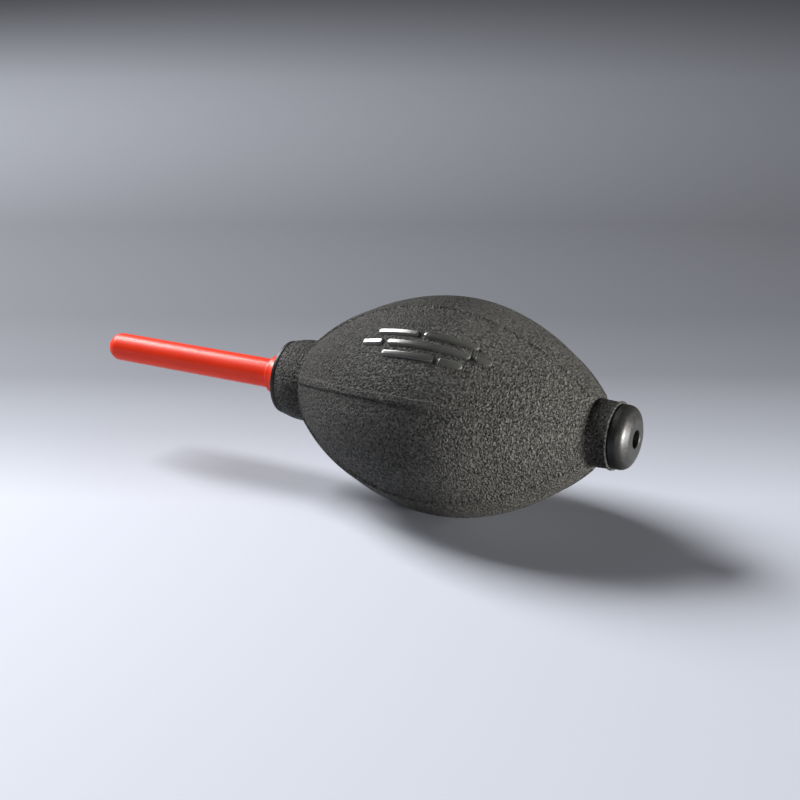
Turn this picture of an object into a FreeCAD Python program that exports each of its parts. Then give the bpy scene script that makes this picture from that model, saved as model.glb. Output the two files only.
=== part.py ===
import FreeCAD, Part
import math
import os
import re

import Sketcher

# A hand dust blower lying on its side. The bulb's axis is along X: the nozzle points to -X and the air inlet
# valve to +X. Every piece is drawn about its own X axis, with x = 0 where the bulb is widest, and its
# Placement then lifts it to the height of the axis and rolls it onto the rib that it rests on.

SIZES = {
    # The bulb's outline: a crown arc and a flatter flank arc on each side of the widest place.
    "bulb_radius": (27.5, "radius at the widest place"),
    "bulb_wall": (2.8, "thickness of the rubber"),
    "left_crown": (46.9, "radius of the crown arc on the nozzle's side"),
    "left_break": (10.0, "distance at which that crown meets its flank"),
    "left_flank": (58.2, "radius of the flank arc on the nozzle's side"),
    "left_root": (39.2, "distance from the widest place to the nozzle's neck"),
    "right_crown": (41.9, "radius of the crown arc on the valve's side"),
    "right_break": (11.9, "distance at which that crown meets its flank"),
    "right_flank": (55.5, "radius of the flank arc on the valve's side"),
    "right_root": (38.2, "distance from the widest place to the valve's neck"),
    "patch_depth": (0.15, "depth of the small flat that the soft rubber's weight presses on its belly"),
    # Six raised ribs, each a round bead sunk in the surface.
    "rib_bead": (1.5, "radius of the bead"),
    "rib_sink": (1.0, "depth of the bead's centre under the surface"),
    "rib_count": (6, "ribs round the bulb"),
    "roll_angle": (9.8, "angle from straight down to the rib that the bulb rests on"),
    # The nozzle's neck, a short barrel shape.
    "mouth_end": (46.8, "distance from the widest place to the neck's open end"),
    "mouth_radius": (9.6, "outer radius of the neck at its open end"),
    "mouth_round": (0.5, "length of the rounded edge at the open end"),
    "barrel_round": (14.0, "radius of the neck's bulging side"),
    "mouth_bore": (7.8, "radius of the neck's bore"),
    # The valve's neck.
    "tail_end": (43.9, "distance from the widest place to the neck's open end"),
    "tail_start_radius": (8.35, "outer radius of the neck where it leaves the bulb"),
    "tail_end_radius": (8.15, "outer radius of the neck before its lip"),
    "tail_lip_radius": (8.45, "outer radius of the lip"),
    "tail_lip_length": (0.6, "length of the lip"),
    "tail_bore": (6.4, "radius of the neck's bore"),
    # The two walls that are squeezed.
    "press_half_length": (30.0, "half the length of a press wall"),
    "press_half_height": (20.5, "half the height of a press wall"),
    "press_gap": (0.3, "gap round a press wall"),
    "press_reach": (40.0, "length of the cutting prisms, past the bulb's side"),
    # The raised mark on the upper front panel: rows of streaks of air.
    "mark_height": (0.6, "height of the mark above the rubber"),
    "mark_turn": (30.0, "angle from the top rib to the middle of the mark's panel"),
    "streak_half_width": (0.95, "half the width of one streak"),
    "streak_round": (0.97, "radius of a streak's rounded ends"),
    "streak_pitch": (3.1, "distance between rows of streaks"),
    # The collar that holds the nozzle in its neck.
    "collar_face": (48.0, "distance from the widest place to the collar's outer face"),
    "collar_back": (47.0, "distance to the back of the collar's flange"),
    "collar_radius": (9.5, "radius of the collar's flange"),
    "collar_round": (0.5, "radius of the flange's rounded edge"),
    "collar_inner_end": (36.5, "distance to the inner end of the collar"),
    "collar_lip": (0.8, "thickness of the stop lip at the inner end"),
    "collar_lip_bore": (4.4, "radius of the hole in the stop lip"),
    "nozzle_fit": (0.05, "radial clearance of the nozzle in the collar"),
    "nozzle_gap": (0.3, "gap between the nozzle's end and the stop lip"),
    # The nozzle.
    "spigot_radius": (5.4, "radius of the nozzle's foot, inside the collar"),
    "spigot_bore": (3.9, "radius of the bore in the foot"),
    "nozzle_radius": (3.72, "outer radius of the tube"),
    "nozzle_bore": (2.3, "radius of the air passage"),
    "foot_reach": (4.6, "length of the foot that stands out of the collar"),
    "flare_radius": (1.6, "radius of the hollow curve from the foot to the tube"),
    "bore_step_start": (46.5, "distance to where the foot's bore starts to narrow"),
    "bore_step_end": (50.0, "distance to where the passage has its own radius"),
    "tip_center": (100.8, "distance to the centre of the round tip"),
    "outlet_radius": (1.0, "radius of the outlet hole"),
    "outlet_start": (101.3, "distance to the inner end of the outlet hole"),
    "outlet_cone": (1.8, "length of the cone from the passage to the outlet"),
    # The inlet valve's domed head.
    "head_undercut": (7.5, "radius of the undercut between neck and head"),
    "head_base": (44.2, "distance to the start of the head"),
    "head_radius": (7.9, "radius of the head"),
    "head_shoulder": (45.6, "distance to where the dome starts"),
    "head_end": (48.5, "distance to the head's end face"),
    "head_face_radius": (4.0, "radius of the end face"),
    "head_dome": (5.0, "radius of the dome's curve"),
    "inlet_radius": (2.2, "radius of the air hole"),
    "inlet_start": (45.5, "distance to the inner end of the air hole"),
    "chamber_radius": (3.4, "radius of the chamber behind the air hole"),
    "shank_end": (41.6, "distance to the inner end of the head's shank"),
    # The valve barrel, seat, disc, spring and cage.
    "barrel_bore": (5.0, "radius of the barrel's bore round the shank and the seat"),
    "valve_bore": (4.6, "radius of the barrel's bore round the disc"),
    "barrel_inner_end": (33.0, "distance to the barrel's inner end"),
    "seat_thickness": (1.2, "thickness of the seat ring"),
    "seat_bore": (2.6, "radius of the hole in the seat ring"),
    "disc_gap": (0.05, "gap between the closed disc and its seat"),
    "disc_radius": (3.9, "radius of the disc"),
    "disc_thickness": (1.0, "thickness of the disc"),
    "stem_radius": (0.8, "radius of the disc's stem"),
    "stem_end": (34.0, "distance to the end of the stem"),
    "stem_fit": (0.05, "radial clearance of the stem in the cage"),
    "cage_start": (33.3, "distance to the cage's inner face"),
    "cage_thickness": (1.6, "thickness of the cage"),
    "cage_hole_radius": (0.85, "radius of an air hole in the cage"),
    "cage_hole_place": (3.2, "distance of the air holes from the axis"),
    "cage_hole_count": (6, "air holes in the cage"),
    "spring_wire": (0.25, "radius of the spring's wire"),
    "spring_radius": (2.5, "radius of the spring's coils"),
    "spring_gap": (0.05, "gap between the spring and what it leans on"),
    "spring_turns": (4, "turns of the spring"),
}

# Each streak of the mark: its row, and where its ends' centres are along the bulb.
STREAKS = [
    (-1, -9.0, 3.5),
    (-1, 6.5, 10.5),
    (0, -16.0, -11.5),
    (0, -8.5, 11.5),
    (0, 14.5, 16.5),
    (1, -12.5, -2.5),
    (1, 0.5, 12.5),
]

# The bulb's surface, moved inwards by an inset: the height of each arc's end above the axis.
BREAK_X = "({side}_break * (1 - ({inset}) / {side}_crown))"
BREAK_Y = "(bulb_radius - {side}_crown + ({side}_crown - ({inset})) * sqrt(1 - ({side}_break / {side}_crown)^2))"
CENTER_X = "({side}_break * (1 - {side}_flank / {side}_crown))"
CENTER_Y = "(bulb_radius - {side}_crown + ({side}_crown - {side}_flank) * sqrt(1 - ({side}_break / {side}_crown)^2))"

# The nozzle's tip and the face of the valve's seat, measured from the widest place.
TIP = "tip_center + sqrt(nozzle_radius^2 - outlet_radius^2)"
SEAT_FACE = "(shank_end - seat_thickness)"

doc = FreeCAD.newDocument("dust_blower_bulb")
sheet = doc.addObject("Spreadsheet::Sheet", "Sizes")
pieces = []


def fill_sheet():
    """Writes the driving dimensions, one row each: name, number, what it is."""
    for row, (name, (value, note)) in enumerate(SIZES.items(), start=1):
        sheet.set(f"A{row}", name)
        sheet.set(f"B{row}", str(value))
        sheet.set(f"C{row}", note)
        sheet.setAlias(f"B{row}", name)
    doc.recompute()


def in_cells(formula):
    """The formula with each driving dimension's name turned into a reference to its cell."""
    return re.sub(r"[a-z]+(_[a-z]+)+", r"Sizes.\g<0>", formula)


def number(formula):
    """The formula's present value."""
    return float(sheet.evalExpression(in_cells(formula)))


def bind(thing, place, formula):
    thing.setExpression(place, in_cells(formula))


def new_body(name):
    body = doc.addObject("PartDesign::Body", name)
    body.Label = name
    return body


def new_sketch(body, name, role="XY_Plane"):
    """A sketch on one of the body's own origin planes."""
    sketch = body.newObject("Sketcher::SketchObject", name)
    origin_plane = next(plane for plane in body.Origin.OriginFeatures if plane.Role == role)
    sketch.AttachmentSupport = [(origin_plane, "")]
    sketch.MapMode = "FlatFace"
    return sketch


def arc_between(start, end, radius):
    """The shorter arc from start to end. A positive radius turns left on the way and a negative one right."""
    chord = end - start
    middle = (start + end) * 0.5
    left = FreeCAD.Vector(-chord.y, chord.x, 0).normalize()
    offset = math.sqrt(radius**2 - (chord.Length / 2) ** 2)
    center = middle + left * math.copysign(offset, radius)
    first, last = (start, end) if radius > 0 else (end, start)
    angles = [math.atan2(point.y - center.y, point.x - center.x) for point in (first, last)]
    circle = Part.Circle(center, FreeCAD.Vector(0, 0, 1), abs(radius))
    return Part.ArcOfCircle(circle, angles[0], angles[1])


def pin_point(sketch, side, end, x, y):
    """Ties one end of a side to the coordinates that the formulas x and y give."""
    for kind, axis, formula in (("DistanceX", -2, x), ("DistanceY", -1, y)):
        value = number(formula)
        if abs(value) < 1e-9:
            sketch.addConstraint(Sketcher.Constraint("PointOnObject", side, end, axis))
        else:
            index = sketch.addConstraint(Sketcher.Constraint(kind, side, end, value))
            bind(sketch, f"Constraints[{index}]", formula)


def draw(sketch, corners, closed=True):
    """An outline through the corners. A corner is (x, y) in formulas, or (x, y, radius) if the side that leaves it
    is an arc: the radius is positive where the side turns left."""
    points = [FreeCAD.Vector(number(corner[0]), number(corner[1]), 0) for corner in corners]
    side_count = len(corners) if closed else len(corners) - 1
    starts, ends = [], []
    for index in range(side_count):
        start, end = points[index], points[(index + 1) % len(points)]
        if len(corners[index]) == 3:
            formula = corners[index][2]
            radius = number(formula)
            side = sketch.addGeometry(arc_between(start, end, radius))
            size = sketch.addConstraint(Sketcher.Constraint("Radius", side, abs(radius)))
            bind(sketch, f"Constraints[{size}]", f"abs({formula})")
            starts.append((side, 1 if radius > 0 else 2))
            ends.append((side, 2 if radius > 0 else 1))
        else:
            side = sketch.addGeometry(Part.LineSegment(start, end))
            starts.append((side, 1))
            ends.append((side, 2))
    for index in range(side_count):
        pin_point(sketch, *starts[index], *corners[index][:2])
        if index > 0:
            sketch.addConstraint(Sketcher.Constraint("Coincident", *ends[index - 1], *starts[index]))
    if closed:
        sketch.addConstraint(Sketcher.Constraint("Coincident", *ends[-1], *starts[0]))
    else:
        pin_point(sketch, *ends[-1], *corners[-1][:2])


def draw_circle(sketch, x, y, radius):
    circle = Part.Circle(FreeCAD.Vector(number(x), number(y), 0), FreeCAD.Vector(0, 0, 1), number(radius))
    side = sketch.addGeometry(circle)
    size = sketch.addConstraint(Sketcher.Constraint("Radius", side, number(radius)))
    bind(sketch, f"Constraints[{size}]", radius)
    pin_point(sketch, side, 3, x, y)


def add_feature(body, kind, name, **properties):
    """Adds a PartDesign feature, makes it the body's tip and checks that it changed the body's volume."""
    before = body.Shape.Volume if not body.Shape.isNull() else 0.0
    feature = body.newObject(f"PartDesign::{kind}", name)
    for key, value in properties.items():
        setattr(feature, key, value)
    body.Tip = feature
    doc.recompute()
    if abs(body.Shape.Volume - before) < 1e-6:
        raise RuntimeError(f"{body.Name}.{name} changes nothing")
    return feature


def turned(name, corners):
    """A body turned about the X axis from a closed outline."""
    body = new_body(name)
    sketch = new_sketch(body, f"{name}_outline")
    draw(sketch, corners)
    add_feature(body, "Revolution", f"{name}_turning", Profile=sketch, ReferenceAxis=(sketch, ["H_Axis"]))
    return body


def place(piece, name, extra_turn="0"):
    """Gives a finished piece its name and its place on the rolled, lifted axis."""
    piece.Label = name
    piece.Placement = FreeCAD.Placement(
        FreeCAD.Vector(1, 0, 1), FreeCAD.Rotation(FreeCAD.Vector(1, 0, 0), number("roll_angle"))
    )
    bind(piece, "Placement.Base.x", f"({TIP} - head_end) / 2")
    bind(piece, "Placement.Base.z", "bulb_radius - patch_depth")
    bind(piece, "Placement.Rotation.Angle", f"roll_angle + {extra_turn}")
    pieces.append(piece)


def crown_corners(inset):
    """The two crown arcs, from the left break over the widest place to the right break."""
    left = {"side": "left", "inset": inset}
    right = {"side": "right", "inset": inset}
    return [
        ("-" + BREAK_X.format(**left), BREAK_Y.format(**left), f"-(left_crown - ({inset}))"),
        ("0", f"bulb_radius - ({inset})", f"-(right_crown - ({inset}))"),
        (BREAK_X.format(**right), BREAK_Y.format(**right), f"-(right_flank - ({inset}))"),
    ]


def flank_y(side, inset, x):
    """Height of a flank arc at the distance x from the widest place."""
    names = {"side": side}
    reach = f"({x} - {CENTER_X.format(**names)})"
    return f"{CENTER_Y.format(**names)} + sqrt(({side}_flank - ({inset}))^2 - {reach}^2)"


def flank_x(side, inset, y):
    """Distance from the widest place at which a flank arc has the height y."""
    names = {"side": side}
    rise = f"({y} - {CENTER_Y.format(**names)})"
    return f"{CENTER_X.format(**names)} + sqrt(({side}_flank - ({inset}))^2 - {rise}^2)"


def make_moulding():
    """The whole rubber moulding: bulb, two necks and six ribs, hollow."""
    body = new_body("moulding")
    outside = new_sketch(body, "moulding_outside")
    draw(
        outside,
        [
            ("-mouth_end", "0"),
            ("-mouth_end", "mouth_radius - mouth_round"),
            ("-mouth_end + mouth_round", "mouth_radius", "-barrel_round"),
            ("-left_root", flank_y("left", "0", "left_root"), "-left_flank"),
            *crown_corners("0"),
            ("right_root", flank_y("right", "0", "right_root")),
            ("right_root + 0.3", "tail_start_radius"),
            ("tail_end - tail_lip_length", "tail_end_radius"),
            ("tail_end - tail_lip_length", "tail_lip_radius"),
            ("tail_end", "tail_lip_radius"),
            ("tail_end", "0"),
        ],
    )
    add_feature(body, "Revolution", "moulding_solid", Profile=outside, ReferenceAxis=(outside, ["H_Axis"]))
    ribs = [add_rib_half(body, side) for side in ("left", "right")]
    pattern = add_feature(
        body,
        "PolarPattern",
        "moulding_ribs",
        Originals=ribs,
        Axis=(outside, ["H_Axis"]),
        Angle=360,
        Occurrences=int(number("rib_count")),
    )
    bind(pattern, "Occurrences", "rib_count")
    hollow = new_sketch(body, "moulding_hollow")
    draw(
        hollow,
        [
            ("-mouth_end", "0"),
            ("-mouth_end", "mouth_bore"),
            ("-(" + flank_x("left", "bulb_wall", "mouth_bore") + ")", "mouth_bore", "-(left_flank - bulb_wall)"),
            *crown_corners("bulb_wall"),
            (flank_x("right", "bulb_wall", "tail_bore"), "tail_bore"),
            ("tail_end", "tail_bore"),
            ("tail_end", "0"),
        ],
    )
    add_feature(body, "Groove", "moulding_cavity", Profile=hollow, ReferenceAxis=(hollow, ["H_Axis"]))
    return body


def add_rib_half(body, side):
    """A round bead from the widest place to one neck, on the bulb's top."""
    section = new_sketch(body, f"rib_section_{side}", "YZ_Plane")
    draw_circle(section, "0", "bulb_radius - rib_sink", "rib_bead")
    line = new_sketch(body, f"rib_line_{side}", "XZ_Plane")
    sign, turn = ("-", "") if side == "left" else ("", "-")
    names = {"side": side, "inset": "rib_sink"}
    draw(
        line,
        [
            ("0", "bulb_radius - rib_sink", f"{turn}({side}_crown - rib_sink)"),
            (sign + BREAK_X.format(**names), BREAK_Y.format(**names), f"{turn}({side}_flank - rib_sink)"),
            (f"{sign}{side}_root", flank_y(side, "rib_sink", f"{side}_root")),
        ],
        closed=False,
    )
    return add_feature(body, "AdditivePipe", f"rib_{side}", Profile=section, Spine=line)


def make_prism(name, gap, backward, forward):
    """An elliptical prism along Y, as wide as a press wall and its gap."""
    ellipse = doc.addObject("Part::Ellipse", f"{name}_ellipse")
    bind(ellipse, "MajorRadius", f"press_half_length + {gap}")
    bind(ellipse, "MinorRadius", f"press_half_height + {gap}")
    ellipse.Placement = FreeCAD.Placement(
        FreeCAD.Vector(0, 0, 0), FreeCAD.Rotation(FreeCAD.Vector(1, 0, 0), 90)
    )
    prism = doc.addObject("Part::Extrusion", name)
    prism.Base = ellipse
    prism.DirMode = "Custom"
    prism.Dir = FreeCAD.Vector(0, 1, 0)
    prism.Solid = True
    bind(prism, "LengthFwd", forward)
    bind(prism, "LengthRev", backward)
    return prism


def combine(kind, name, base, tool):
    """A boolean of two objects."""
    result = doc.addObject(f"Part::{kind}", name)
    result.Base = base
    result.Tool = tool
    return result


def make_floor():
    """A block under the belly. Its top is level once the bulb is rolled, and cuts the small flat that it lies on."""
    block = doc.addObject("Part::Box", "floor_block")
    for side in ("Length", "Width", "Height"):
        bind(block, side, "2 * press_reach")
    across = FreeCAD.Rotation(FreeCAD.Vector(1, 0, 0), -number("roll_angle"))
    depth = number("bulb_radius - patch_depth + 2 * press_reach")
    corner = FreeCAD.Vector(-number("press_reach"), -number("press_reach"), -depth)
    block.Placement = FreeCAD.Placement(across.multVec(corner), across)
    return block


def make_bulb():
    """The rubber bulb, split into the part that keeps its shape and the two walls that are pressed in."""
    moulding = make_moulding()
    window = make_prism("window", "press_gap", "press_reach", "press_reach")
    front = make_prism("front_prism", "0", "press_reach", "0")
    back = make_prism("back_prism", "0", "0", "press_reach")
    opened = combine("Cut", "opened_moulding", moulding, window)
    place(combine("Cut", "bulb_body", opened, make_floor()), "bulb_body")
    place(combine("Common", "press_wall_front", moulding, front), "press_wall_front")
    place(combine("Common", "press_wall_back", moulding, back), "press_wall_back")


def bulb_solid(name, inset):
    """The bulb without necks, filled, with its surface moved inwards by the inset."""
    return turned(
        name,
        [
            ("-left_root", "0"),
            ("-left_root", flank_y("left", inset, "left_root"), f"-(left_flank - ({inset}))"),
            *crown_corners(inset),
            ("right_root", flank_y("right", inset, "right_root")),
            ("right_root", "0"),
        ],
    )


def make_mark():
    """The raised mark: streaks of air that follow the bulb's surface."""
    swollen = bulb_solid("mark_outside", "-mark_height")
    plain = bulb_solid("mark_inside", "0")
    layer = combine("Cut", "mark_layer", swollen, plain)
    stamp = new_body("mark_stamp")
    stamp.AllowCompound = True
    streaks = new_sketch(stamp, "streaks")
    for row, start, end in STREAKS:
        low, high = (f"{row} * streak_pitch {sign} streak_half_width" for sign in "-+")
        draw(
            streaks,
            [
                (str(start), low),
                (str(end), low, "streak_round"),
                (str(end), high),
                (str(start), high, "streak_round"),
            ],
        )
    pad = add_feature(stamp, "Pad", "streak_pad", Profile=streaks)
    bind(pad, "Length", "press_reach")
    place(combine("Common", "bulb_mark", layer, stamp), "bulb_mark", extra_turn="mark_turn")


def make_collar():
    """The stiff collar in the neck's mouth, with a stop lip at its inner end."""
    bore = "spigot_radius + nozzle_fit"
    lip_face = "-(collar_inner_end + collar_lip)"
    corners = [
        ("-collar_face", bore),
        ("-collar_face", "collar_radius - collar_round", "-collar_round"),
        ("-collar_face + collar_round", "collar_radius"),
        ("-collar_back", "collar_radius"),
        ("-collar_back", "mouth_bore"),
        ("-collar_inner_end", "mouth_bore"),
        ("-collar_inner_end", "collar_lip_bore"),
        (lip_face, "collar_lip_bore"),
        (lip_face, bore),
    ]
    place(turned("neck_collar", corners), "neck_collar")


def make_nozzle():
    """The air tube with a wider foot, a round tip and a narrow outlet."""
    foot = "-(collar_inner_end + collar_lip + nozzle_gap)"
    corners = [
        (foot, "spigot_bore"),
        (foot, "spigot_radius"),
        ("-(collar_face + foot_reach)", "spigot_radius"),
        ("-(collar_face + foot_reach)", "nozzle_radius + flare_radius", "-flare_radius"),
        ("-(collar_face + foot_reach + flare_radius)", "nozzle_radius"),
        ("-tip_center", "nozzle_radius", "nozzle_radius"),
        (f"-({TIP})", "outlet_radius"),
        ("-outlet_start", "outlet_radius"),
        ("-outlet_start + outlet_cone", "nozzle_bore"),
        ("-bore_step_end", "nozzle_bore"),
        ("-bore_step_start", "spigot_bore"),
    ]
    place(turned("nozzle_tube", corners), "nozzle_tube")


def make_valve_housing():
    """The domed head outside, the barrel in the neck and the seat ring clamped between them."""
    head = [
        ("tail_end", "barrel_bore"),
        ("tail_end", "head_undercut"),
        ("head_base", "head_undercut"),
        ("head_base", "head_radius"),
        ("head_shoulder", "head_radius", "-head_dome"),
        ("head_end", "head_face_radius"),
        ("head_end", "inlet_radius"),
        ("inlet_start", "inlet_radius"),
        ("inlet_start", "chamber_radius"),
        ("shank_end", "chamber_radius"),
        ("shank_end", "barrel_bore"),
    ]
    place(turned("valve_head", head), "valve_head")
    barrel = [
        ("barrel_inner_end", "valve_bore"),
        ("barrel_inner_end", "tail_bore"),
        ("tail_end", "tail_bore"),
        ("tail_end", "barrel_bore"),
        (SEAT_FACE, "barrel_bore"),
        (SEAT_FACE, "valve_bore"),
    ]
    place(turned("valve_barrel", barrel), "valve_barrel")
    seat = [
        (SEAT_FACE, "seat_bore"),
        (SEAT_FACE, "barrel_bore"),
        ("shank_end", "barrel_bore"),
        ("shank_end", "seat_bore"),
    ]
    place(turned("valve_seat", seat), "valve_seat")


def make_disc():
    """The loose disc with its guide stem."""
    face = f"({SEAT_FACE} - disc_gap)"
    corners = [
        ("stem_end", "0"),
        ("stem_end", "stem_radius"),
        (f"{face} - disc_thickness", "stem_radius"),
        (f"{face} - disc_thickness", "disc_radius"),
        (face, "disc_radius"),
        (face, "0"),
    ]
    place(turned("valve_disc", corners), "valve_disc")


def make_cage():
    """The round guide at the barrel's inner end, with a hole for the stem and a ring of air holes."""
    corners = [
        ("cage_start", "stem_radius + stem_fit"),
        ("cage_start", "valve_bore"),
        ("cage_start + cage_thickness", "valve_bore"),
        ("cage_start + cage_thickness", "stem_radius + stem_fit"),
    ]
    body = turned("valve_cage", corners)
    hole = new_sketch(body, "cage_hole", "YZ_Plane")
    draw_circle(hole, "0", "cage_hole_place", "cage_hole_radius")
    pocket = add_feature(
        body, "Pocket", "cage_air_hole", Profile=hole, Type="ThroughAll", Midplane=True
    )
    pattern = add_feature(
        body,
        "PolarPattern",
        "cage_air_holes",
        Originals=[pocket],
        Axis=(doc.getObject("valve_cage_outline"), ["H_Axis"]),
        Angle=360,
        Occurrences=int(number("cage_hole_count")),
    )
    bind(pattern, "Occurrences", "cage_hole_count")
    place(body, "valve_cage")


def make_spring():
    """The light spring between the cage and the disc."""
    body = new_body("valve_spring")
    wire = new_sketch(body, "spring_wire_section")
    first = "cage_start + cage_thickness + spring_gap + spring_wire"
    last = f"{SEAT_FACE} - disc_gap - disc_thickness - spring_gap - spring_wire"
    draw_circle(wire, first, "spring_radius", "spring_wire")
    coil = body.newObject("PartDesign::AdditiveHelix", "spring_coil")
    coil.Profile = wire
    coil.ReferenceAxis = (wire, ["H_Axis"])
    coil.Mode = "height-turns-angle"
    coil.Angle = 0
    coil.Growth = 0
    bind(coil, "Height", f"({last}) - ({first})")
    bind(coil, "Turns", "spring_turns")
    body.Tip = coil
    doc.recompute()
    place(body, "valve_spring")


def check_and_write():
    """Stops at the first thing that did not build, and then writes one file for each piece."""
    doc.recompute()
    for thing in doc.Objects:
        if {"Invalid", "Error"} & set(thing.State):
            raise RuntimeError(f"{thing.Name} did not build: {thing.State}")
    for piece in pieces:
        if piece.Shape.isNull() or not piece.Shape.isValid() or piece.Shape.Volume <= 0:
            raise RuntimeError(f"{piece.Label} has no sound shape")
    os.makedirs("parts", exist_ok=True)
    for piece in pieces:
        piece.Shape.exportStep(f"parts/{piece.Label}.step")


fill_sheet()
make_bulb()
make_mark()
make_collar()
make_nozzle()
make_valve_housing()
make_disc()
make_cage()
make_spring()
check_and_write()
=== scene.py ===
import math

import bpy
from mathutils import Matrix, Vector


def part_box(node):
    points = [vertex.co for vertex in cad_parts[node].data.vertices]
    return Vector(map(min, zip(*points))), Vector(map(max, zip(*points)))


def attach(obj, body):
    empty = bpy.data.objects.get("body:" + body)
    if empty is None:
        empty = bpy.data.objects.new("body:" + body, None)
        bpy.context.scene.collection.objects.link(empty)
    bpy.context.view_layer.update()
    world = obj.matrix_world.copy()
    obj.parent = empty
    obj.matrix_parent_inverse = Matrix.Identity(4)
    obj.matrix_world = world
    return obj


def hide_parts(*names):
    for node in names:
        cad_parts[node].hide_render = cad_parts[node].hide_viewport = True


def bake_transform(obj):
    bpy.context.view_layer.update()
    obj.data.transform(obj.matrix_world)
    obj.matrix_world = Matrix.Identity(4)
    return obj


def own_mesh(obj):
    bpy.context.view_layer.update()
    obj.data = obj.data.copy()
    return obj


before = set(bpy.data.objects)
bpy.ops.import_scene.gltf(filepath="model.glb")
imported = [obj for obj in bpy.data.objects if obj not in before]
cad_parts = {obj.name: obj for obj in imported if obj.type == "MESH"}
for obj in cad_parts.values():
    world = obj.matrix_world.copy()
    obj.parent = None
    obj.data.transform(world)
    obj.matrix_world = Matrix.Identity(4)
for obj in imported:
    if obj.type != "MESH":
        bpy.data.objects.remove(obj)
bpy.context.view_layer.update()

# ---------------------------------------------------------------- sizes, in millimetres
# Distances along the axis are counted from where the bulb is widest, and are negative towards the nozzle.
MM = 0.001

# The bulb: a crown arc over its widest place and a flank arc on each side of it.
BULB_RADIUS = 27.5
LEFT = {"crown": 46.9, "break": 10.0, "flank": 58.2, "root": 39.2}
RIGHT = {"crown": 41.9, "break": 11.9, "flank": 55.5, "root": 38.2}
STATION_STEP = 0.6        # between the rings of the bulb's mesh

# The necks.
NOZZLE_NECK_START = -46.3
NOZZLE_NECK_RADIUS = 9.75
NOZZLE_NECK_SWELL = 1.7   # how much the neck bulges between its ends
NOZZLE_NECK_STEPS = 16
NOZZLE_MOUTH = [          # corners (x, r, radius of the rounding)
    (-43.5, 7.8, 0),
    (-46.8, 7.8, 0.2),
    (-46.8, 9.72, 0.35),
    (NOZZLE_NECK_START + 0.6, 9.84, 0),
]
VALVE_NECK = [            # the same, from just past the root to inside the mouth
    (RIGHT["root"] + 0.35, 8.32, 0.25),
    (43.25, 8.12, 0.15),
    (43.3, 8.42, 0.12),
    (43.9, 8.42, 0.22),
    (43.9, 6.4, 0.2),
    (41.5, 6.4, 0),
]

# The ribs.
RIB_ROLL = 9.8            # degrees from straight down to the lowest rib
RIB_COUNT = 6
RIB_HEIGHT = 0.5
RIB_HALF_WIDTH = 1.15
RIB_SHOULDER = 0.5        # width of the slope at a rib's side
RIB_FOOT = 0.1            # mesh beside the slope, at no height
RIB_FADE_LEFT = 1.2       # length over which the ribs rise from the nozzle's neck
RIB_FADE_RIGHT = 0.9
RIB_STEPS = 10            # mesh columns over half a rib
PANEL_STEPS = 22          # mesh columns between two ribs

# The raised mark: rows of streaks.
MARK_HEIGHT = 0.6
MARK_ANGLE = 120          # degrees about the axis to the middle row
STREAK_PITCH = 3.1
STREAK_HALF_WIDTH = 0.95
STREAK_SINK = 0.05        # how deep a streak's edge lies in the skin
STREAK_ACROSS_STEPS = 12
STREAK_END_STEPS = 10
STREAK_STEP = 1.2         # between the rings of a streak's straight part
STREAKS = [               # (row, start, end)
    (-1, -9.0, 3.5),
    (-1, 6.5, 10.5),
    (0, -16.0, -11.5),
    (0, -8.5, 11.5),
    (0, 14.5, 16.5),
    (1, -12.5, -2.5),
    (1, 0.5, 12.5),
]

# The valve's spring.
WIRE_RADIUS = 0.25
COIL_RADIUS = 2.5
COIL_TURNS = 4
COIL_START = 35.2
COIL_END = 39.05
TURN_STEPS = 40
WIRE_STEPS = 12
WIRE_TIP = 0.05           # size of a wire's closed end, as a share of the wire

ROUND_STEPS = 5           # segments in a small rounded edge
LARGE_ROUND_STEPS = 14    # segments in a large one
TURNED_SEGMENTS = 160     # segments round a turned piece

wall_low, wall_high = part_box("press_wall_back")
collar_low, collar_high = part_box("neck_collar")
CENTER = Vector(((wall_low[0] + wall_high[0]) / 2, 0.0, (collar_low[2] + collar_high[2]) / 2))
AXIS_TURN = Matrix.Rotation(math.radians(RIB_ROLL), 4, "X")
TO_ROW = Matrix.Translation(CENTER) @ AXIS_TURN


# ---------------------------------------------------------------- materials
def new_material(name, color, roughness, **sockets):
    """A Principled material and the tools to wire it: (material, nodes, links, shader)."""
    material = bpy.data.materials.new(name)
    material.use_nodes = True
    nodes, links = material.node_tree.nodes, material.node_tree.links
    shader = nodes["Principled BSDF"]
    shader.inputs["Base Color"].default_value = (*color, 1)
    shader.inputs["Roughness"].default_value = roughness
    for socket, value in sockets.items():
        shader.inputs[socket.replace("_", " ")].default_value = value
    return material, nodes, links, shader


def texture(nodes, links, kind, scale, detail=3.0, **settings):
    """A 3-D procedural texture in the object's own coordinates. Scale is in features per metre."""
    place = nodes.new("ShaderNodeTexCoord")
    pattern = nodes.new(f"ShaderNodeTex{kind}")
    pattern.inputs["Scale"].default_value = scale
    if "Detail" in pattern.inputs:
        pattern.inputs["Detail"].default_value = detail
    for key, value in settings.items():
        setattr(pattern, key, value)
    links.new(place.outputs["Object"], pattern.inputs["Vector"])
    return pattern


def mapped(nodes, links, source, low, high, new_low, new_high):
    """A number turned from one range to another, held at its ends."""
    node = nodes.new("ShaderNodeMapRange")
    node.inputs["From Min"].default_value = low
    node.inputs["From Max"].default_value = high
    node.inputs["To Min"].default_value = new_low
    node.inputs["To Max"].default_value = new_high
    links.new(source, node.inputs["Value"])
    return node.outputs["Result"]


def mixed_color(nodes, links, factor, first, second):
    """The first colour where the factor is 0, the second where it is 1."""
    node = nodes.new("ShaderNodeMix")
    node.data_type = "RGBA"
    node.inputs["A"].default_value = (*first, 1)
    node.inputs["B"].default_value = (*second, 1)
    links.new(factor, node.inputs["Factor"])
    return node.outputs["Result"]


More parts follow.
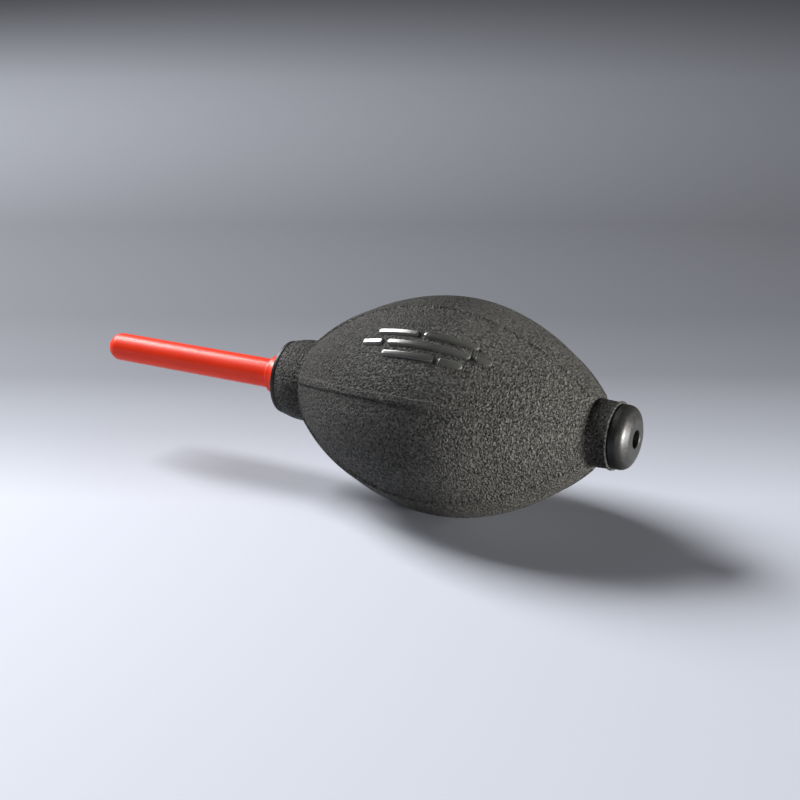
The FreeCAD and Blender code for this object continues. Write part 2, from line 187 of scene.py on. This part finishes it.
def bump(nodes, links, height, distance, under=None):
    """Relief of a height in metres, which can lie on other relief."""
    node = nodes.new("ShaderNodeBump")
    node.inputs["Distance"].default_value = distance
    node.inputs["Strength"].default_value = 1.0
    links.new(height, node.inputs["Height"])
    if under is not None:
        links.new(under, node.inputs["Normal"])
    return node.outputs["Normal"]


def grained_rubber(name, dark, light):
    """Moulded rubber with a fine leathery grain: the crests are smoother than the pits, and the pits are
    painted darker as shade in the hollows.
    """
    material, nodes, links, shader = new_material(name, light, 0.5, Specular_IOR_Level=0.2)
    worms = texture(nodes, links, "Noise", 1750, 1.5)
    worms.inputs["Distortion"].default_value = 0.6
    pebbles = texture(nodes, links, "Voronoi", 2100, feature="SMOOTH_F1")
    pebbles.inputs["Smoothness"].default_value = 0.4
    blotches = texture(nodes, links, "Noise", 60, 4.0)
    crests = mapped(nodes, links, worms.outputs["Fac"], 0.34, 0.66, 0, 1)
    middle = bump(nodes, links, pebbles.outputs["Distance"], 0.0003)
    links.new(bump(nodes, links, crests, 0.0004, middle), shader.inputs["Normal"])
    # Painted shade: the colour follows the grain's height, so the pits are darker than the crests; the
    # blotches add a real random tone.
    shade = nodes.new("ShaderNodeMath")
    shade.operation = "MULTIPLY"
    links.new(crests, shade.inputs[0])
    links.new(mapped(nodes, links, blotches.outputs["Fac"], 0.3, 0.7, 0.7, 1), shade.inputs[1])
    links.new(mixed_color(nodes, links, shade.outputs["Value"], dark, light), shader.inputs["Base Color"])
    links.new(mapped(nodes, links, crests, 0, 1, 0.7, 0.42), shader.inputs["Roughness"])
    return material


def smooth_plastic(name, color, shade, roughness, ripple, **sockets):
    """Moulded plastic: slight tone changes, a faint ripple and fine wear in its gloss."""
    material, nodes, links, shader = new_material(name, color, roughness, **sockets)
    flow = texture(nodes, links, "Noise", 90, 3.0)
    wear = texture(nodes, links, "Noise", 1500, 4.0)
    factor = mapped(nodes, links, flow.outputs["Fac"], 0.3, 0.7, 0, 1)
    links.new(mixed_color(nodes, links, factor, color, shade), shader.inputs["Base Color"])
    rough = mapped(nodes, links, wear.outputs["Fac"], 0.3, 0.7, roughness * 0.75, roughness * 1.25)
    links.new(rough, shader.inputs["Roughness"])
    rolling = texture(nodes, links, "Noise", 160, 2.0)
    links.new(bump(nodes, links, rolling.outputs["Fac"], ripple), shader.inputs["Normal"])
    return material


def metal(name, color, shade, roughness):
    """Turned or drawn metal with fine lines round the axis."""
    material, nodes, links, shader = new_material(name, color, roughness, Metallic=1.0)
    lines = texture(nodes, links, "Wave", 900, 2.0, bands_direction="X")
    spots = texture(nodes, links, "Noise", 400, 3.0)
    factor = mapped(nodes, links, spots.outputs["Fac"], 0.3, 0.7, 0, 1)
    links.new(mixed_color(nodes, links, factor, color, shade), shader.inputs["Base Color"])
    links.new(bump(nodes, links, lines.outputs["Fac"], 0.00001), shader.inputs["Normal"])
    return material


FINE_RIPPLE = 0.00002     # metres
MARK_RIPPLE = 0.00006
RUBBER = grained_rubber("grained_rubber", (0.009, 0.0085, 0.0075), (0.085, 0.082, 0.074))
MARK_GLOSS = smooth_plastic("mark_gloss", (0.045, 0.045, 0.042), (0.07, 0.07, 0.064), 0.22, MARK_RIPPLE)
BLACK_PLASTIC = smooth_plastic(
    "black_plastic", (0.009, 0.009, 0.0085), (0.013, 0.013, 0.012), 0.42, FINE_RIPPLE,
    Specular_IOR_Level=0.3,
)
RED_PLASTIC = smooth_plastic(
    "red_plastic", (0.68, 0.024, 0.003), (0.72, 0.030, 0.005), 0.45, FINE_RIPPLE,
    Specular_IOR_Level=0.2, Coat_Weight=0.09, Coat_Roughness=0.06,
)
WHITE_PLASTIC = smooth_plastic("white_plastic", (0.72, 0.71, 0.66), (0.78, 0.77, 0.72), 0.4, FINE_RIPPLE)
SEAL_RUBBER = smooth_plastic("seal_rubber", (0.02, 0.02, 0.02), (0.03, 0.03, 0.03), 0.55, FINE_RIPPLE)
BRASS = metal("brass", (0.62, 0.43, 0.16), (0.70, 0.50, 0.22), 0.32)
SPRING_STEEL = metal("spring_steel", (0.55, 0.55, 0.56), (0.66, 0.66, 0.67), 0.25)


# ---------------------------------------------------------------- meshes
def smooth_step(value):
    """0 below 0, 1 above 1 and an S curve between them."""
    value = min(max(value, 0.0), 1.0)
    return value * value * (3 - 2 * value)


def make_object(name, vertices, faces, material):
    """A smooth-shaded mesh. The vertices come in the axis frame, in millimetres."""
    mesh = bpy.data.meshes.new(name)
    mesh.from_pydata([tuple(TO_ROW @ (Vector(vertex) * MM)) for vertex in vertices], [], faces)
    mesh.polygons.foreach_set("use_smooth", [True] * len(mesh.polygons))
    mesh.materials.append(material)
    mesh.validate()
    thing = bpy.data.objects.new(name, mesh)
    bpy.context.scene.collection.objects.link(thing)
    return thing


def swept(name, rings, material, closed_round=True, closed_along=False):
    """A mesh from rings that all have the same number of points."""
    count = len(rings[0])
    vertices = [point for ring in rings for point in ring]
    faces = []
    for row in range(len(rings) if closed_along else len(rings) - 1):
        here, there = row * count, (row + 1) % len(rings) * count
        for column in range(count if closed_round else count - 1):
            after = (column + 1) % count
            faces.append((here + column, here + after, there + after, there + column))
    return make_object(name, vertices, faces, material)


def rounded(corners, steps=ROUND_STEPS):
    """The outline through corners (x, r, radius of the rounding), as a list of (x, r)."""
    points = []
    for index, (x, r, radius) in enumerate(corners):
        if radius == 0:
            points.append((x, r))
            continue
        corner = Vector((x, r))
        before = (Vector(corners[index - 1][:2]) - corner).normalized()
        after = (Vector(corners[(index + 1) % len(corners)][:2]) - corner).normalized()
        half = before.angle(after) / 2
        middle = corner + (before + after).normalized() * (radius / math.sin(half))
        first = corner + before * (radius / math.tan(half)) - middle
        turn = math.pi - 2 * half
        side = 1 if before.x * after.y - before.y * after.x < 0 else -1
        count = max(2, math.ceil(steps * turn / (math.pi / 2)))
        for step in range(count + 1):
            angle = side * turn * step / count
            x_part = first.x * math.cos(angle) - first.y * math.sin(angle)
            y_part = first.x * math.sin(angle) + first.y * math.cos(angle)
            points.append((middle.x + x_part, middle.y + y_part))
    return points


def turned(name, corners, material, body, replaces, steps=ROUND_STEPS):
    """A turned piece from a closed outline of rounded corners, riding on a body."""
    angles = [2 * math.pi * index / TURNED_SEGMENTS for index in range(TURNED_SEGMENTS)]
    rings = []
    for x, r in rounded(corners, steps):
        rings.append([(x, r * math.cos(angle), r * math.sin(angle)) for angle in angles])
    piece = swept(name, rings, material, closed_along=True)
    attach(piece, body)
    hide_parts(*replaces)


# ---------------------------------------------------------------- the bulb's surface
def flank_center(side):
    """Centre of a flank arc, (distance from the widest place, height over the axis)."""
    share = side["break"] / side["crown"]
    x = side["break"] - side["flank"] * share
    r = BULB_RADIUS - side["crown"] + (side["crown"] - side["flank"]) * math.sqrt(1 - share**2)
    return x, r


def surface(x):
    """The bulb's radius at x, and the outward normal there as (along, out)."""
    side = LEFT if x < 0 else RIGHT
    if abs(x) < side["break"]:
        arc_x, arc_r, radius = 0.0, BULB_RADIUS - side["crown"], side["crown"]
    else:
        (arc_x, arc_r), radius = flank_center(side), side["flank"]
    along = (abs(x) - arc_x) / radius
    out = math.sqrt(1 - along**2)
    return arc_r + radius * out, math.copysign(along, x), out


def lifted(x, angle, height):
    """A point over the bulb's surface, at an angle about the axis from the axis frame's +Y to its +Z."""
    r, along, out = surface(x)
    r += out * height
    return (x + along * height, r * math.cos(angle), r * math.sin(angle))


def rib_height(offset):
    """Height of a rib's section at a distance from its middle line."""
    return RIB_HEIGHT * smooth_step((RIB_HALF_WIDTH - abs(offset)) / RIB_SHOULDER)


def nozzle_neck_rings():
    """Rings from inside the nozzle's mouth to the bulb's root."""
    rings = [(x, r, 0, 1, 0) for x, r in rounded(NOZZLE_MOUTH)]
    end = -LEFT["root"]
    root_radius = surface(end)[0]
    for step in range(2, NOZZLE_NECK_STEPS + 1):
        share = step / NOZZLE_NECK_STEPS
        x = NOZZLE_NECK_START + (end - NOZZLE_NECK_START) * share
        rise = (root_radius + 0.06 - NOZZLE_NECK_RADIUS) * share
        r = NOZZLE_NECK_RADIUS + rise + NOZZLE_NECK_SWELL * share * (1 - share)
        rings.append((x, r, 0, 1, 0))
    return rings


def belly_rings():
    """Rings between the two roots, where the ribs stand."""
    rings = []
    length = RIGHT["root"] + LEFT["root"]
    count = round(length / STATION_STEP)
    for step in range(1, count):
        x = -LEFT["root"] + length * step / count
        r, along, out = surface(x)
        from_left = smooth_step((x + LEFT["root"]) / RIB_FADE_LEFT)
        from_right = smooth_step((RIGHT["root"] - x) / RIB_FADE_RIGHT)
        rings.append((x, r, along, out, from_left * from_right))
    return rings


def bulb_outline():
    """Rings from the nozzle's mouth to the valve's: (x, r, normal along, normal out, share of the rib)."""
    root = RIGHT["root"]
    tail = rounded([(root, surface(root)[0], 0), *VALVE_NECK])
    return nozzle_neck_rings() + belly_rings() + [(x, r, 0, 1, 0) for x, r in tail]


def rib_columns(first_rib, ribs):
    """Mesh columns from one rib's middle line to the opposite rib's: (rib angle, part, share of it)."""
    columns = []
    pitch = 2 * math.pi / RIB_COUNT
    for rib in range(ribs):
        base = first_rib + rib * pitch
        columns += [(base, "rise", step / RIB_STEPS) for step in range(RIB_STEPS)]
        columns += [(base, "panel", step / PANEL_STEPS) for step in range(PANEL_STEPS)]
        columns += [(base + pitch, "fall", 1 - step / RIB_STEPS) for step in range(RIB_STEPS)]
    columns.append((first_rib + ribs * pitch, "rise", 0.0))
    return columns


def skin_point(ring, column):
    """Where a mesh column crosses a ring, ribs included."""
    x, r, along, out, rib_share = ring
    base, part, share = column
    edge = (RIB_HALF_WIDTH + RIB_FOOT) / r
    if part == "rise":
        angle, offset = base + edge * share, share
    elif part == "fall":
        angle, offset = base - edge * share, share
    else:
        angle, offset = base + edge + (2 * math.pi / RIB_COUNT - 2 * edge) * share, 1.0
    height = rib_height(offset * (RIB_HALF_WIDTH + RIB_FOOT)) * rib_share
    r += out * height
    return (x + along * height, r * math.cos(angle), r * math.sin(angle))


def laid_on_floor(piece):
    """Flattens what would reach below the floor: the small patch that the soft belly lies on."""
    for vertex in piece.data.vertices:
        vertex.co.z = max(vertex.co.z, 0.0)


def make_bulb_half(name, first_angle):
    """One half of the rubber skin, ribs included."""
    rings = bulb_outline()
    columns = rib_columns(first_angle, RIB_COUNT // 2)
    points = [[skin_point(ring, column) for column in columns] for ring in rings]
    half = swept(name, points, RUBBER, closed_round=False)
    laid_on_floor(half)
    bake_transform(half)
    return half


back_skin = make_bulb_half("bulb_skin_back", -math.pi / 2)
front_skin = make_bulb_half("bulb_skin_front", math.pi / 2)
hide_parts("bulb_body", "press_wall_back")
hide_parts("press_wall_front")


# ---------------------------------------------------------------- turned pieces
turned(
    "nozzle",
    [
        (-37.6, 3.9, 0.2),
        (-37.6, 5.4, 0.3),
        (-48.1, 5.4, 0.1),
        (-48.1, 4.95, 0),
        (-52.45, 4.85, 0.1),
        (-52.5, 3.78, 1.0),
        (-104.38, 3.68, 3.4),
        (-104.38, 1.0, 0.15),
        (-101.3, 1.0, 0.1),
        (-99.5, 2.3, 0.4),
        (-50.0, 2.3, 0.5),
        (-46.5, 3.9, 0.5),
    ],
    RED_PLASTIC,
    "nozzle",
    replaces=["nozzle_tube"],
    steps=LARGE_ROUND_STEPS,
)
turned(
    "collar",
    [
        (-48.2, 5.45, 0.1),
        (-48.2, 9.5, 0.5),
        (-47.05, 9.5, 0.12),
        (-47.05, 7.8, 0),
        (-36.5, 7.8, 0.3),
        (-36.5, 4.4, 0.1),
        (-37.3, 4.4, 0.1),
        (-37.3, 5.45, 0),
    ],
    BLACK_PLASTIC,
    "bulb",
    replaces=["neck_collar"],
)
turned(
    "valve_cap",
    [
        (43.9, 5.0, 0),
        (43.9, 7.45, 0.05),
        (44.15, 7.45, 0.05),
        (44.15, 7.9, 0.25),
        (47.15, 7.9, 2.4),
        (48.5, 4.7, 2.6),
        (48.5, 2.2, 0.3),
        (45.5, 2.2, 0.1),
        (45.5, 3.4, 0.1),
        (41.6, 3.4, 0.1),
        (41.6, 5.0, 0.2),
    ],
    BLACK_PLASTIC,
    "bulb",
    replaces=["valve_head"],
    steps=LARGE_ROUND_STEPS,
)


# ---------------------------------------------------------------- the raised mark
def streak_stations(start, end):
    """Places along a streak with round ends: (x, share of its full width)."""
    turns = [math.pi / 2 * step / STREAK_END_STEPS for step in range(STREAK_END_STEPS + 1)]
    straight = max(2, round((end - start) / STREAK_STEP))
    stations = [(start - STREAK_HALF_WIDTH * math.cos(turn), math.sin(turn)) for turn in turns]
    stations += [(start + (end - start) * step / straight, 1.0) for step in range(1, straight)]
    stations += [(end + STREAK_HALF_WIDTH * math.sin(turn), math.cos(turn)) for turn in turns]
    return stations


def make_streak(name, row, start, end):
    """One streak of air: a rounded bar that follows the bulb's surface."""
    rings = []
    for x, width_share in streak_stations(start, end):
        r = surface(x)[0]
        ring = []
        for step in range(STREAK_ACROSS_STEPS + 1):
            across = -1 + 2 * step / STREAK_ACROSS_STEPS
            dome = (1 - abs(across) ** 6) * width_share ** 0.4
            sideways = -row * STREAK_PITCH + across * STREAK_HALF_WIDTH * width_share
            angle = math.radians(MARK_ANGLE) + sideways / r
            ring.append(lifted(x, angle, MARK_HEIGHT * dome - STREAK_SINK))
        rings.append(ring)
    return swept(name, rings, MARK_GLOSS, closed_round=False)


for index, (row, start, end) in enumerate(STREAKS):
    streak = make_streak(f"mark_streak_{index}", row, start, end)
    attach(streak, "bulb")
    if index == 0:
        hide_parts("bulb_mark")


# ---------------------------------------------------------------- the valve's spring
def drawn_in(ring):
    """A ring shrunk to its middle, which closes the end of a wire."""
    middle = sum((Vector(point) for point in ring), Vector()) / len(ring)
    return [tuple(middle + (Vector(point) - middle) * WIRE_TIP) for point in ring]


def make_spring():
    """The coil between the cage and the disc."""
    angles = [2 * math.pi * index / WIRE_STEPS for index in range(WIRE_STEPS)]
    rings = []
    for step in range(COIL_TURNS * TURN_STEPS + 1):
        turn = 2 * math.pi * step / TURN_STEPS
        x = COIL_START + (COIL_END - COIL_START) * step / (COIL_TURNS * TURN_STEPS)
        out = Vector((0, math.cos(turn), math.sin(turn)))
        center = Vector((x, 0, 0)) + out * COIL_RADIUS
        ring = []
        for angle in angles:
            spoke = out * math.cos(angle) + Vector((1, 0, 0)) * math.sin(angle)
            ring.append(tuple(center + spoke * WIRE_RADIUS))
        rings.append(ring)
    rings.insert(0, drawn_in(rings[0]))
    rings.append(drawn_in(rings[-1]))
    spring = swept("valve_coil", rings, SPRING_STEEL)
    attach(spring, "bulb")
    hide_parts("valve_spring")
    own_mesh(spring)


make_spring()


# ---------------------------------------------------------------- pieces that keep their CAD shape
for node, material in {
    "valve_barrel": BRASS,
    "valve_seat": SEAL_RUBBER,
    "valve_disc": WHITE_PLASTIC,
    "valve_cage": WHITE_PLASTIC,
}.items():
    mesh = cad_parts[node].data
    mesh.materials.clear()
    mesh.materials.append(material)


# ---------------------------------------------------------------- studio
CAMERA_PLACE = Vector((198.4, -398.2, 161.8))    # millimetres from the bulb's centre
CAMERA_LENS = 85.5
SENSOR_WIDTH = 36
LOOK = Vector((-0.4448, 0.8291, -0.3387))
FLOOR_SIZE = 6           # metres
FLOOR_TINT = (0.96, 1.0, 1.12)
FLOOR_WOBBLE = 0.02      # how far the paper's fibres shift the painted light along the floor
FLOOR_PAINTED_LIGHT = [          # metres past the bulb, and how light the floor is painted there: painted fall-off of the lamps' light
    (-0.20, 0.60),
    (0.00, 0.50),
    (0.05, 0.32),
    (0.10, 0.185),
    (0.16, 0.14),
    (0.28, 0.12),
    (0.60, 0.23),
]
SOFTBOXES = [            # (name, metres from the bulb's centre, size in metres, watts, colour)
    ("upper_left", (-0.58, 0.08, 0.48), (0.35, 0.35), 13, (1, 1, 1)),
    ("right", (0.62, 0.05, -0.01), (0.20, 0.03), 15, (1, 0.98, 0.95)),
    ("front_strip", (0.28, -0.66, 0.09), (0.05, 0.20), 0.9, (1, 1, 1)),
]


def add_softbox(name, place, size, power, color):
    """A rectangular lamp that points at the bulb."""
    lamp = bpy.data.lights.new(name, "AREA")
    lamp.shape = "RECTANGLE"
    lamp.size, lamp.size_y = size
    lamp.energy = power
    lamp.color = color
    thing = bpy.data.objects.new(name, lamp)
    bpy.context.scene.collection.objects.link(thing)
    thing.location = CENTER + Vector(place)
    thing.rotation_euler = (-Vector(place)).to_track_quat("-Z", "Y").to_euler()


def make_floor():
    """A pale paper floor with painted light: its colour gets darker towards its far end, as the lamps'
    light falls off.
    """
    bpy.ops.mesh.primitive_plane_add(size=FLOOR_SIZE, location=(0, 0, 0))
    floor = bpy.context.object
    floor.name = "floor"
    material, nodes, links, shader = new_material(
        "floor_paper_painted_light", (0.7, 0.74, 0.82), 0.7, Specular_IOR_Level=0.1
    )
    place = nodes.new("ShaderNodeTexCoord")
    depth = nodes.new("ShaderNodeVectorMath")
    depth.operation = "DOT_PRODUCT"
    depth.inputs[1].default_value = Vector((LOOK.x, LOOK.y, 0)).normalized()
    links.new(place.outputs["Object"], depth.inputs[0])
    start, end = FLOOR_PAINTED_LIGHT[0][0], FLOOR_PAINTED_LIGHT[-1][0]
    # Painted light: the ramp darkens the floor's colour with distance past the bulb.
    ramp = nodes.new("ShaderNodeValToRGB")
    stops = ramp.color_ramp.elements
    while len(stops) < len(FLOOR_PAINTED_LIGHT):
        stops.new(0.5)
    for stop, (distance, painted_light) in zip(stops, FLOOR_PAINTED_LIGHT):
        stop.position = (distance - start) / (end - start)
        stop.color = (*(painted_light * share for share in FLOOR_TINT), 1)
    fibres = texture(nodes, links, "Noise", 8, 2.0)
    wobble = nodes.new("ShaderNodeMath")
    wobble.operation = "MULTIPLY_ADD"
    wobble.inputs[1].default_value = FLOOR_WOBBLE
    links.new(fibres.outputs["Fac"], wobble.inputs[0])
    links.new(mapped(nodes, links, depth.outputs["Value"], start, end, 0, 1), wobble.inputs[2])
    links.new(wobble.outputs["Value"], ramp.inputs["Fac"])
    links.new(ramp.outputs["Color"], shader.inputs["Base Color"])
    floor.data.materials.append(material)


def make_studio():
    """The floor, the softboxes and an even room light."""
    make_floor()
    for softbox in SOFTBOXES:
        add_softbox(*softbox)
    world = bpy.data.worlds.new("studio")
    bpy.context.scene.world = world
    world.use_nodes = True
    background = world.node_tree.nodes["Background"]
    background.inputs["Color"].default_value = (0.60, 0.62, 0.66, 1)
    background.inputs["Strength"].default_value = 0.05


def make_camera():
    """The camera, at three-quarter view from the valve's end."""
    camera = bpy.data.cameras.new("camera")
    camera.lens = CAMERA_LENS
    camera.sensor_width = SENSOR_WIDTH
    thing = bpy.data.objects.new("camera", camera)
    bpy.context.scene.collection.objects.link(thing)
    thing.location = CENTER + CAMERA_PLACE * MM
    thing.rotation_euler = LOOK.to_track_quat("-Z", "Y").to_euler()
    bpy.context.scene.camera = thing


make_studio()
make_camera()
bpy.context.scene.view_settings.view_transform = "Standard"
